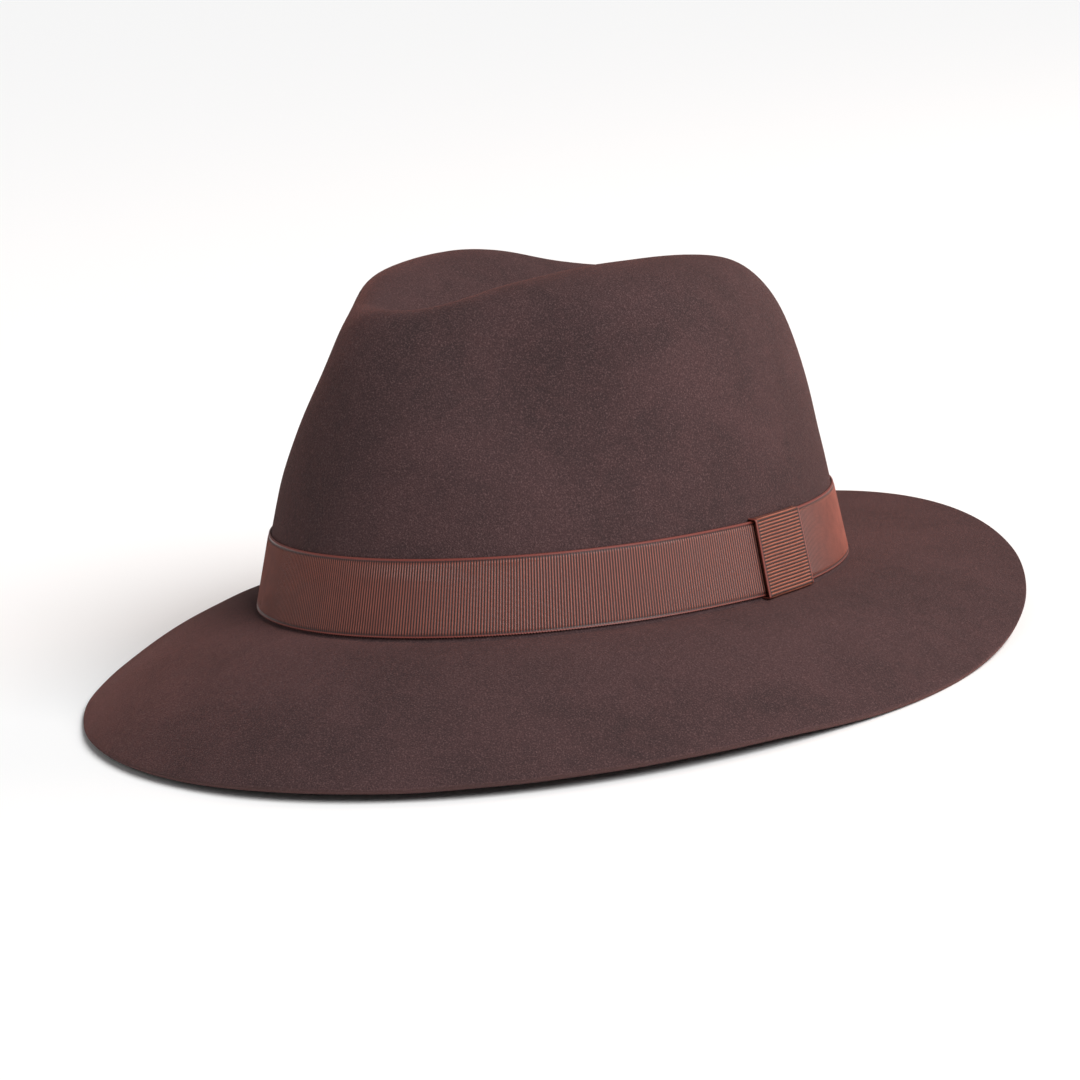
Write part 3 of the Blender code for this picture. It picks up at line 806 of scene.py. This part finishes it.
def make_keeper(material):
    """Short ribbon strip folded over the band's edges where its ends lap, its ribs level."""
    inner = 3 * GAP + 2 * RIBBON
    outer = inner + RIBBON / 2
    low = BAND_FOOT - GAP - RIBBON / 2
    high = BAND_TOP + GAP + RIBBON / 2
    bend = RIBBON_BEND
    corner = np.linspace(0.0, math.pi / 2, 7)[1:-1]
    straight = np.linspace(low + bend, high - bend, 200)
    bottom = [(low, GAP), (low, outer - bend)]
    bottom += [(low + bend - bend * math.cos(a), outer - bend + bend * math.sin(a)) for a in corner]
    top = [(high - bend + bend * math.sin(a), outer - bend + bend * math.cos(a)) for a in corner]
    top += [(high, outer - bend), (high, GAP)]
    path = np.array(bottom + [(h, outer) for h in straight] + top)
    lengths = arc_lengths(path)
    crest = (1 + np.cos(FULL_TURN * lengths / KEEPER_RIB_PITCH)) / 2
    border = np.array([0.0, 0.012, 0.03, 0.05, 0.075])
    across = np.concatenate([border, np.linspace(0.11, 0.89, 15), 1 - border[::-1]])
    begin = KEEPER_TURN - KEEPER_WIDTH / 2
    width = KEEPER_WIDTH * (HALF_WIDTH + HALF_LENGTH) / 2
    columns = []
    for share in across:
        edge = min(share, 1 - share)
        rib_share = float(ease((edge - 0.035) / 0.03))
        bead = KEEPER_BEAD * math.exp(-(((edge - 0.018) / 0.014) ** 2))
        relief = RIB_DEPTH * 1.25 * crest * rib_share + bead
        section = strip_section(path, RIBBON if 0 < edge else RIBBON * 0.5, -relief)
        # The front edge of the keeper stands proud of the band it holds
        proud = KEEPER_PROUD * math.exp(-((share / 0.22) ** 2))
        front_share = np.clip((section[:, 1] - GAP) / (outer - GAP), 0.0, 1.0)
        turn = np.full(len(section), begin + KEEPER_WIDTH * share)
        columns.append(wall_point(turn, section[:, 0], section[:, 1] + proud * front_share))
    grid = np.stack(columns, axis=1)
    down = np.concatenate([lengths, lengths[::-1], [0.0]])
    mesh = grid_form("ribbon_keeper", grid, True, False, across * width, down)
    keeper = place_piece("ribbon_keeper", mesh, material, "keeper_ribbon", "band_keeper")


# ---- Sweatband, reed and stitching ----


def rounded(lengths, thickness, radius=0.0004):
    """Thickness at points along a strip whose two ends are rounded over."""
    to_end = np.minimum(lengths, lengths[-1] - lengths)
    share = np.clip(to_end / radius, 0.0, 1.0)
    return thickness * np.maximum(np.sqrt(1 - (1 - share) ** 2), 0.25)


def end_spaced(start, stop, count, near=0.0004):
    """Evenly spaced places, with a few more close to each end where a strip is rounded over."""
    lift = near * np.array([0.0, 0.15, 0.5, 1.0])
    inside = np.linspace(start + 2 * near, stop - 2 * near, count)
    return np.concatenate([start + lift, inside, stop - lift[::-1]])


def ring_form(name, turns, path, thickness, closed, ripple=0.0):
    """A strip whose section follows a path of (height, out) pairs, swept round the hat."""
    lengths = arc_lengths(np.asarray(path))
    section = strip_section(path, rounded(lengths, thickness))
    height, turn = np.meshgrid(section[:, 0], turns, indexing="ij")
    out = section[:, 1][:, None] + ripple * np.sin(turn * 41 + 90 * height) * np.sin(turn * 13)
    grid = wall_point(turn, height, out)
    along = (HALF_WIDTH + HALF_LENGTH) / 2 * np.append(turns, 2 * turns[-1] - turns[-2])
    down = np.concatenate([lengths, lengths[::-1], [0.0]])
    return grid_form(name, grid, True, closed, along, down)


def tubes_form(name, lines, facings, radius, sides, closed=False):
    """Round threads along lines of points, each rounded at its ends unless it is a closed ring."""
    spokes = once_round(sides)
    points = []
    polygons = []
    maps = []
    for line, facing in zip(lines, facings):
        first = len(points)
        count = len(line)
        if closed:
            ahead = unit(np.roll(line, -1, axis=0) - np.roll(line, 1, axis=0))
        else:
            ahead = unit(np.gradient(line, axis=0))
        across = unit(np.cross(ahead, facing))
        upright = np.cross(across, ahead)
        lengths = arc_lengths(line)
        if closed:
            thick = np.full(count, radius)
        else:
            to_end = np.minimum(lengths, lengths[-1] - lengths) / radius
            thick = radius * np.maximum(np.sqrt(1 - (1 - np.clip(to_end, 0.0, 1.0)) ** 2), 0.3)
        ring = across[:, None] * np.cos(spokes)[:, None] + upright[:, None] * np.sin(spokes)[:, None]
        points += (line[:, None] + ring * thick[:, None, None]).reshape(-1, 3).tolist()
        for step in range(count if closed else count - 1):
            after = (step + 1) % count
            start = lengths[step]
            stop = lengths[after] if after else lengths[-1]
            for spoke in range(sides):
                beside = (spoke + 1) % sides
                corners = ((step, spoke), (after, spoke), (after, beside), (step, beside))
                polygons.append([first + s * sides + k for s, k in corners])
                low = spoke * radius
                maps += [[start, low], [stop, low], [stop, low + radius], [start, low + radius]]
        if not closed:
            for end in (0, count - 1):
                cap = [first + end * sides + spoke for spoke in range(sides)]
                polygons.append(cap[::-1] if end else cap)
                maps += [[lengths[end], 0.0]] * sides
    mesh = bpy.data.meshes.new(name)
    mesh.from_pydata(in_row(points).tolist(), [], polygons)
    mesh.uv_layers.new(name="lay").data.foreach_set("uv", np.array(maps, np.float32).ravel())
    form = bmesh.new()
    form.from_mesh(mesh)
    bmesh.ops.recalc_face_normals(form, faces=form.faces)
    form.to_mesh(mesh)
    form.free()
    return mesh


def sweat_out():
    """Outer face of the leather: inside the felt and the lining."""
    return -(FELT + SATIN + 3 * GAP)


def thread_out():
    """Middle of a thread that lies on the leather's inner face."""
    return sweat_out() - LEATHER - GAP / 2 - THREAD_RADIUS


def seam_turns(count):
    """Turns from one end of the sweatband round the front to its other end, at the back seam."""
    half = SEAM_HALF / HALF_WIDTH
    return np.linspace(BACK_TURN + half, BACK_TURN + FULL_TURN - half, count)


def make_sweatband(material):
    """Leather strip round the head opening, its ends meeting at the back."""
    heights = end_spaced(SWEAT_FOOT, SWEAT_TOP, 18)
    path = [(height, sweat_out() - LEATHER / 2) for height in heights]
    mesh = ring_form("leather_sweatband", seam_turns(260), path, LEATHER, False, LEATHER_RIPPLE)
    strip = place_piece("leather_sweatband", mesh, material, "sweatband_leather", "sweatband")
    length = arc_lengths(wall_point(seam_turns(260), 0.02 + np.zeros(260), sweat_out() + np.zeros(260)))[-1]


def make_reed(material):
    """Springy plastic reed in the fold of the tape, its ends just apart at the back."""
    height = TAPE_FOOT + TAPE + GAP + REED_RADIUS
    turns = seam_turns(300)
    line = wall_point(turns, height + 0 * turns, sweat_out() - LEATHER / 2 + 0 * turns)
    mesh = tubes_form("sweatband_reed", [line], [oval_normal(turns)], REED_RADIUS, 10)
    place_piece("sweatband_reed", mesh, material, "reed_plastic", "reed")


def make_reed_tape(material):
    """Woven tape folded round the reed: a low lip inside, a tall side behind the leather."""
    back = -(FELT + GAP) - TAPE / 2
    lip = sweat_out() - LEATHER / 2 - REED_RADIUS - GAP - TAPE / 2
    foot = TAPE_FOOT + TAPE / 2
    bend = TAPE_BEND
    curl = np.linspace(0.0, math.pi / 2, 6)
    path = [(height, lip) for height in np.linspace(TAPE_LIP_TOP, foot + bend, 5)[:-1]]
    path += [(foot + bend * (1 - math.sin(a)), lip + bend * (1 - math.cos(a))) for a in curl]
    path += [(foot + bend * (1 - math.cos(a)), back - bend * (1 - math.sin(a))) for a in curl]
    path += [(height, back) for height in np.linspace(foot + bend, TAPE_BACK_TOP, 9)[1:]]
    turns = once_round(240)
    mesh = ring_form("folded_reed_tape", turns, path, TAPE, True)
    tape = place_piece("folded_reed_tape", mesh, material, "woven_tape", "reed_tape")


def make_stitching(material):
    """The row of separate stitches that holds the leather to the reed tape."""
    around = FULL_TURN * (HALF_WIDTH + HALF_LENGTH) / 2
    count = int(around / STITCH_PITCH)
    half = STITCH_LENGTH / STITCH_PITCH * math.pi / count
    lines = []
    facings = []
    for number in range(count):
        turns = FULL_TURN * number / count + half * np.array([-1.0, -0.94, -0.8, -0.4, 0.4, 0.8, 0.94, 1.0])
        dip = THREAD_RADIUS * np.array([0.9, 0.6, 0.25, 0.0, 0.0, 0.25, 0.6, 0.9])
        lines.append(wall_point(turns, THREAD_HEIGHT + 0 * turns, thread_out() + dip))
        facings.append(oval_normal(turns))
    mesh = tubes_form("sweatband_stitches", lines, facings, THREAD_RADIUS, 7)
    place_piece("sweatband_stitches", mesh, material, "sewing_thread", "sweatband_thread")


def make_seam_zigzag(material):
    """Zigzag stitching that draws the sweatband's ends together at the back."""
    step = np.arange(ZIGZAG_POINTS)
    height = ZIGZAG_FOOT + (ZIGZAG_TOP - ZIGZAG_FOOT) * step / (ZIGZAG_POINTS - 1)
    side = np.where(step % 2, 1.0, -1.0) * ZIGZAG_HALF_WIDTH / HALF_WIDTH
    fine = np.linspace(0, ZIGZAG_POINTS - 1, (ZIGZAG_POINTS - 1) * 8 + 1)
    turns = BACK_TURN + np.interp(fine, step, side)
    dip = 0.6 * THREAD_RADIUS * np.abs(np.cos(math.pi * fine)) ** 12
    line = wall_point(turns, np.interp(fine, step, height), thread_out() + dip)
    mesh = tubes_form("back_seam_zigzag", [line], [oval_normal(turns)], THREAD_RADIUS, 7)
    place_piece("back_seam_zigzag", mesh, material, "sewing_thread", "seam_zigzag")


def bow_out():
    """Middle of the bow's ribbon, just inside the sweatband's stitching."""
    return sweat_out() - LEATHER - 2 * GAP - 2 * THREAD_RADIUS - BOW_RIBBON_WIDTH / 2


def back_point(along, height, out):
    """A point by the back seam, along towards the wearer's left."""
    return wall_point(BACK_TURN - along / HALF_WIDTH, height, out)


def make_bow_loop(name, side, material):
    """One flat ribbon loop of the bow, a drop-shaped ring lying along the sweatband."""
    angle = once_round(72)
    spoke = once_round(20)
    deep = np.sign(np.cos(spoke)) * np.abs(np.cos(spoke)) ** 0.3 * BOW_RIBBON_WIDTH / 2
    thick = np.sign(np.sin(spoke)) * np.abs(np.sin(spoke)) ** 0.7 * RIBBON / 2
    deep, angle = np.meshgrid(deep, angle, indexing="ij")
    thick = np.broadcast_to(thick[:, None], angle.shape)
    reach = BOW_LOOP_LENGTH * (1 - np.cos(angle)) / 2
    open_share = 0.35 + 0.65 * reach / BOW_LOOP_LENGTH
    along = side * (KNOT_SIZE[0] / 2 + GAP + RIBBON + reach - thick * np.cos(angle))
    rise = BOW_LOOP_HALF_HEIGHT * np.sin(angle) * open_share + thick * np.sin(angle)
    grid = back_point(along, BOW_HEIGHT + rise, bow_out() + deep)
    length = 2.3 * BOW_LOOP_LENGTH
    along = np.linspace(0, length, 73)
    mesh = grid_form(name + "_ribbon", grid, True, True, along, np.linspace(0, 2 * BOW_RIBBON_WIDTH, 21))
    place_piece(name + "_ribbon", mesh, material, "bow_ribbon", name)


def make_bow_knot(material):
    """The wrap that gathers the bow's loops, drawn in a little at its middle."""
    dip = np.linspace(-math.pi / 2, math.pi / 2, 25)[1:-1, None]
    round_ = FULL_TURN * np.arange(40)[None, :] / 40
    power = 0.45
    level = np.abs(np.cos(dip)) ** power
    along = np.sign(np.cos(round_)) * np.abs(np.cos(round_)) ** power * level * KNOT_SIZE[0] / 2
    out = np.sign(np.sin(round_)) * np.abs(np.sin(round_)) ** power * level * KNOT_SIZE[1] / 2
    up = np.sign(np.sin(dip)) * np.abs(np.sin(dip)) ** power * KNOT_SIZE[2] / 2 + 0 * round_
    waist = 1 - 0.10 * np.cos(up / KNOT_SIZE[2] * math.pi)
    grid = back_point(along * waist, BOW_HEIGHT + up, bow_out() + out)
    poles = [
        (end, back_point(np.array(0.0), np.array(BOW_HEIGHT + way * KNOT_SIZE[2] / 2), np.array(bow_out())))
        for end, way in ((0, -1), (-1, 1))
    ]
    down = np.linspace(0, KNOT_SIZE[2], 24)
    mesh = grid_form("bow_knot_wrap", grid, False, True, np.linspace(0, 0.012, 41), down, poles)
    place_piece("bow_knot_wrap", mesh, material, "bow_ribbon", "bow_knot")


def make_label(material):
    """Small blank label inside the sweatband, beside the back seam."""
    half = LABEL_SIZE[0] / 2 / HALF_LENGTH
    heights = end_spaced(LABEL_HEIGHT - LABEL_SIZE[2] / 2, LABEL_HEIGHT + LABEL_SIZE[2] / 2, 12, 0.0003)
    turns = LABEL_TURN + end_spaced(-half, half, 9, half / 20)
    path = [(height, sweat_out() - LEATHER - GAP - LABEL_SIZE[1] / 2) for height in heights]
    mesh = ring_form("blank_size_label", turns, path, LABEL_SIZE[1], False)
    label = place_piece("blank_size_label", mesh, material, "blank_label", "size_label")


# ---- Lining ----


def gather(turn, height, top):
    """How far the satin's soft pleats hang in from the felt: shallow behind the leather."""
    above = ease((height - SWEAT_TOP) / 0.012)
    reach = GATHER_BEHIND_LEATHER + GATHER_DEPTH * above * (1 - 0.75 * ease((height - top + 0.02) / 0.02))
    wander = 0.55 * np.sin(5 * turn + 1.0) + 0.4 * np.sin(11 * turn)
    fold = 0.5 + 0.5 * np.cos(GATHERS * turn + wander * (1 + 20 * height))
    return reach * fold**1.5 * (0.7 + 0.3 * np.sin(3 * turn + 2.0))


def make_lining_side(material):
    """Satin strip that lines the crown's side, gathered a little into the sweatband."""
    turns = GATHERS * 6
    rises = np.linspace(LINING_FOOT_RISE, LINING_SEAM_FOOT_RISE, 40)
    turn = FULL_TURN * np.arange(turns)[None, :] / turns
    height = crown_point(turn, rises[:, None])[..., 2]
    pleat = gather(turn, height, height[-1])
    outer = crown_shell(rises, FELT + GAP + pleat, turns)
    inner = crown_shell(rises, FELT + GAP + SATIN + pleat, turns)
    grid = np.concatenate([outer, inner[::-1]])
    foot = arc_lengths(np.concatenate([outer[0], outer[:1, 0]]))
    lengths = arc_lengths(outer[:, 0])
    down = np.concatenate([lengths, lengths[::-1], [0.0]])
    mesh = grid_form("satin_side_lining", grid, True, True, foot, down)
    side = place_piece("satin_side_lining", mesh, material, "lining_satin", "lining_side")


def make_lining_tip(material):
    """Satin oval under the crown's top, following its dent."""
    turns = 240
    rises = np.concatenate([np.linspace(LINING_SEAM_TOP_RISE, 0.96, 34), [0.975, 0.99]])
    turn = FULL_TURN * np.arange(turns)[None, :] / turns
    pucker = TIP_PUCKER * (1 - ease((rises[:, None] - LINING_SEAM_TOP_RISE) / 0.12))
    pleat = pucker * (0.5 + 0.5 * np.cos(TIP_PUCKERS * turn + 1.3 * np.sin(7 * turn)))
    outer = crown_shell(rises, FELT + GAP + pleat, turns)
    inner = crown_shell(rises, FELT + GAP + SATIN + pleat, turns)
    grid = np.concatenate([outer[::-1], inner])
    middle = crown_point(np.array(0.0), np.array(1.0))
    poles = ((0, middle - [0, 0, FELT + GAP]), (-1, middle - [0, 0, FELT + GAP + SATIN]))
    rim = outer[0]
    along = arc_lengths(np.concatenate([rim, rim[:1]]))
    lengths = arc_lengths(grid[:, 0])
    mesh = grid_form("satin_tip_lining", grid, False, True, along, lengths, poles)
    tip = place_piece("satin_tip_lining", mesh, material, "lining_satin", "lining_tip")


def make_piping(material):
    """Piping sewn round the seam between the lining's side and its tip."""
    rise = (LINING_SEAM_FOOT_RISE + LINING_SEAM_TOP_RISE) / 2
    near = 0.004
    depth = FELT + SATIN + 2 * GAP + TIP_CORD_RADIUS
    rows = crown_shell([rise - near, rise, rise + near], depth, 420)
    facing = grid_normals(rows)[1]
    mesh = tubes_form("seam_piping", [rows[1]], [facing], TIP_CORD_RADIUS, 10, closed=True)
    place_piece("seam_piping", mesh, material, "seam_piping", "tip_seam_cord")


# ---- Camera and studio ----

CAMERA_TARGET = Vector((-1.97, -4.29, 12.82)) * MM
CAMERA_DISTANCE = 1.12405
CAMERA_AZIMUTH = math.radians(50.31)
CAMERA_ELEVATION = math.radians(10.22)
CAMERA_ROLL = math.radians(-3.81)
CAMERA_LENS = 116.05


def polar(azimuth, elevation, distance):
    """A place seen from the hat: azimuth 0 is in front of it."""
    level = math.cos(elevation) * distance
    return Vector((math.sin(azimuth) * level, -math.cos(azimuth) * level, math.sin(elevation) * distance))


def make_camera():
    """The camera looks at the hat's left front, a little from above."""
    lens = bpy.data.cameras.new("camera")
    lens.lens = CAMERA_LENS
    lens.clip_start = 0.05
    lens.clip_end = 60.0
    camera = bpy.data.objects.new("camera", lens)
    back = polar(CAMERA_AZIMUTH, CAMERA_ELEVATION, 1.0)
    looking = (-back).to_track_quat("-Z", "Y").to_matrix() @ Matrix.Rotation(CAMERA_ROLL, 3, "Z")
    seat = looking.to_4x4()
    seat.translation = CAMERA_TARGET + back * CAMERA_DISTANCE
    camera.matrix_world = stand @ seat
    bpy.context.scene.collection.objects.link(camera)
    bpy.context.scene.camera = camera


def add_light(name, kind, azimuth, elevation, distance, power, colour="#ffffff", **shape):
    """A lamp that faces the hat."""
    light = bpy.data.lights.new(name, kind)
    light.energy = power
    light.color = linear(colour)[:3]
    for setting, value in shape.items():
        setattr(light, setting, value)
    lamp = bpy.data.objects.new(name, light)
    place = polar(math.radians(azimuth), math.radians(elevation), distance)
    lamp.location = place
    lamp.rotation_euler = (-place).to_track_quat("-Z", "Y").to_euler()
    bpy.context.scene.collection.objects.link(lamp)


def make_studio():
    """Pale floor and surroundings, a broad key light, a weak fill and a warm light from behind."""
    side = 15.0
    mesh = bpy.data.meshes.new("floor")
    corners = [(-side, -side, 0), (side, -side, 0), (side, side, 0), (-side, side, 0)]
    mesh.from_pydata(corners, [], [(0, 1, 2, 3)])
    mesh.materials.append(studio_floor())
    floor = bpy.data.objects.new("floor", mesh)
    bpy.context.scene.collection.objects.link(floor)
    world = bpy.data.worlds.new("studio")
    world.use_nodes = True
    backdrop = world.node_tree.nodes["Background"]
    backdrop.inputs["Color"].default_value = linear("#ffffff")
    backdrop.inputs["Strength"].default_value = 0.22
    bpy.context.scene.world = world
    add_light("key", "SUN", 98, 42, 4.0, 3.8, angle=math.radians(42))
    add_light("fill", "AREA", -20, 30, 1.8, 2.5, shape="SQUARE", size=1.0)
    add_light("rim", "AREA", 158, 32, 1.3, 6.0, "#ffdccb", shape="SQUARE", size=0.7)
    bpy.context.scene.view_settings.view_transform = "Standard"


make_felt(fur_felt())
make_camera()
make_studio()
tall = BAND_TOP - BAND_FOOT
# Each ribbon's first, darker colour is painted shade for its rib valleys
ribbon = ribbed_ribbon("brown grosgrain band", "#140706", "#945041", RIB_PITCH, tall, False)
make_band(ribbon)
breadth = KEEPER_WIDTH * (HALF_WIDTH + HALF_LENGTH) / 2
keeper_ribbon = ribbed_ribbon(
    "brown grosgrain keeper", "#190807", "#a35d48", KEEPER_RIB_PITCH, breadth, True
)
make_keeper(keeper_ribbon)
leather = sweatband_leather()
thread = sewing_thread()
make_sweatband(leather)
make_reed(reed_plastic())
make_reed_tape(plain_weave("cotton reed tape", "#32231e", "#5d453a", 0.0006))
make_stitching(thread)
make_seam_zigzag(thread)
# Each satin's two colours are painted shade and painted highlight on its rumples
bow_ribbon = lining_satin("brown satin bow ribbon", "#5a342c", "#8d5e50")
make_bow_loop("bow_loop_left", 1, bow_ribbon)
make_bow_loop("bow_loop_right", -1, bow_ribbon)
make_bow_knot(bow_ribbon)
# The label's threads are drawn at 0.5 mm, coarser than a woven label's
make_label(plain_weave("blank label cloth", "#b3a68b", "#ddd2b9", 0.0005))
satin = lining_satin("brown viscose satin", "#54403a", "#6e5548")
make_lining_side(satin)
make_lining_tip(satin)
make_piping(satin)
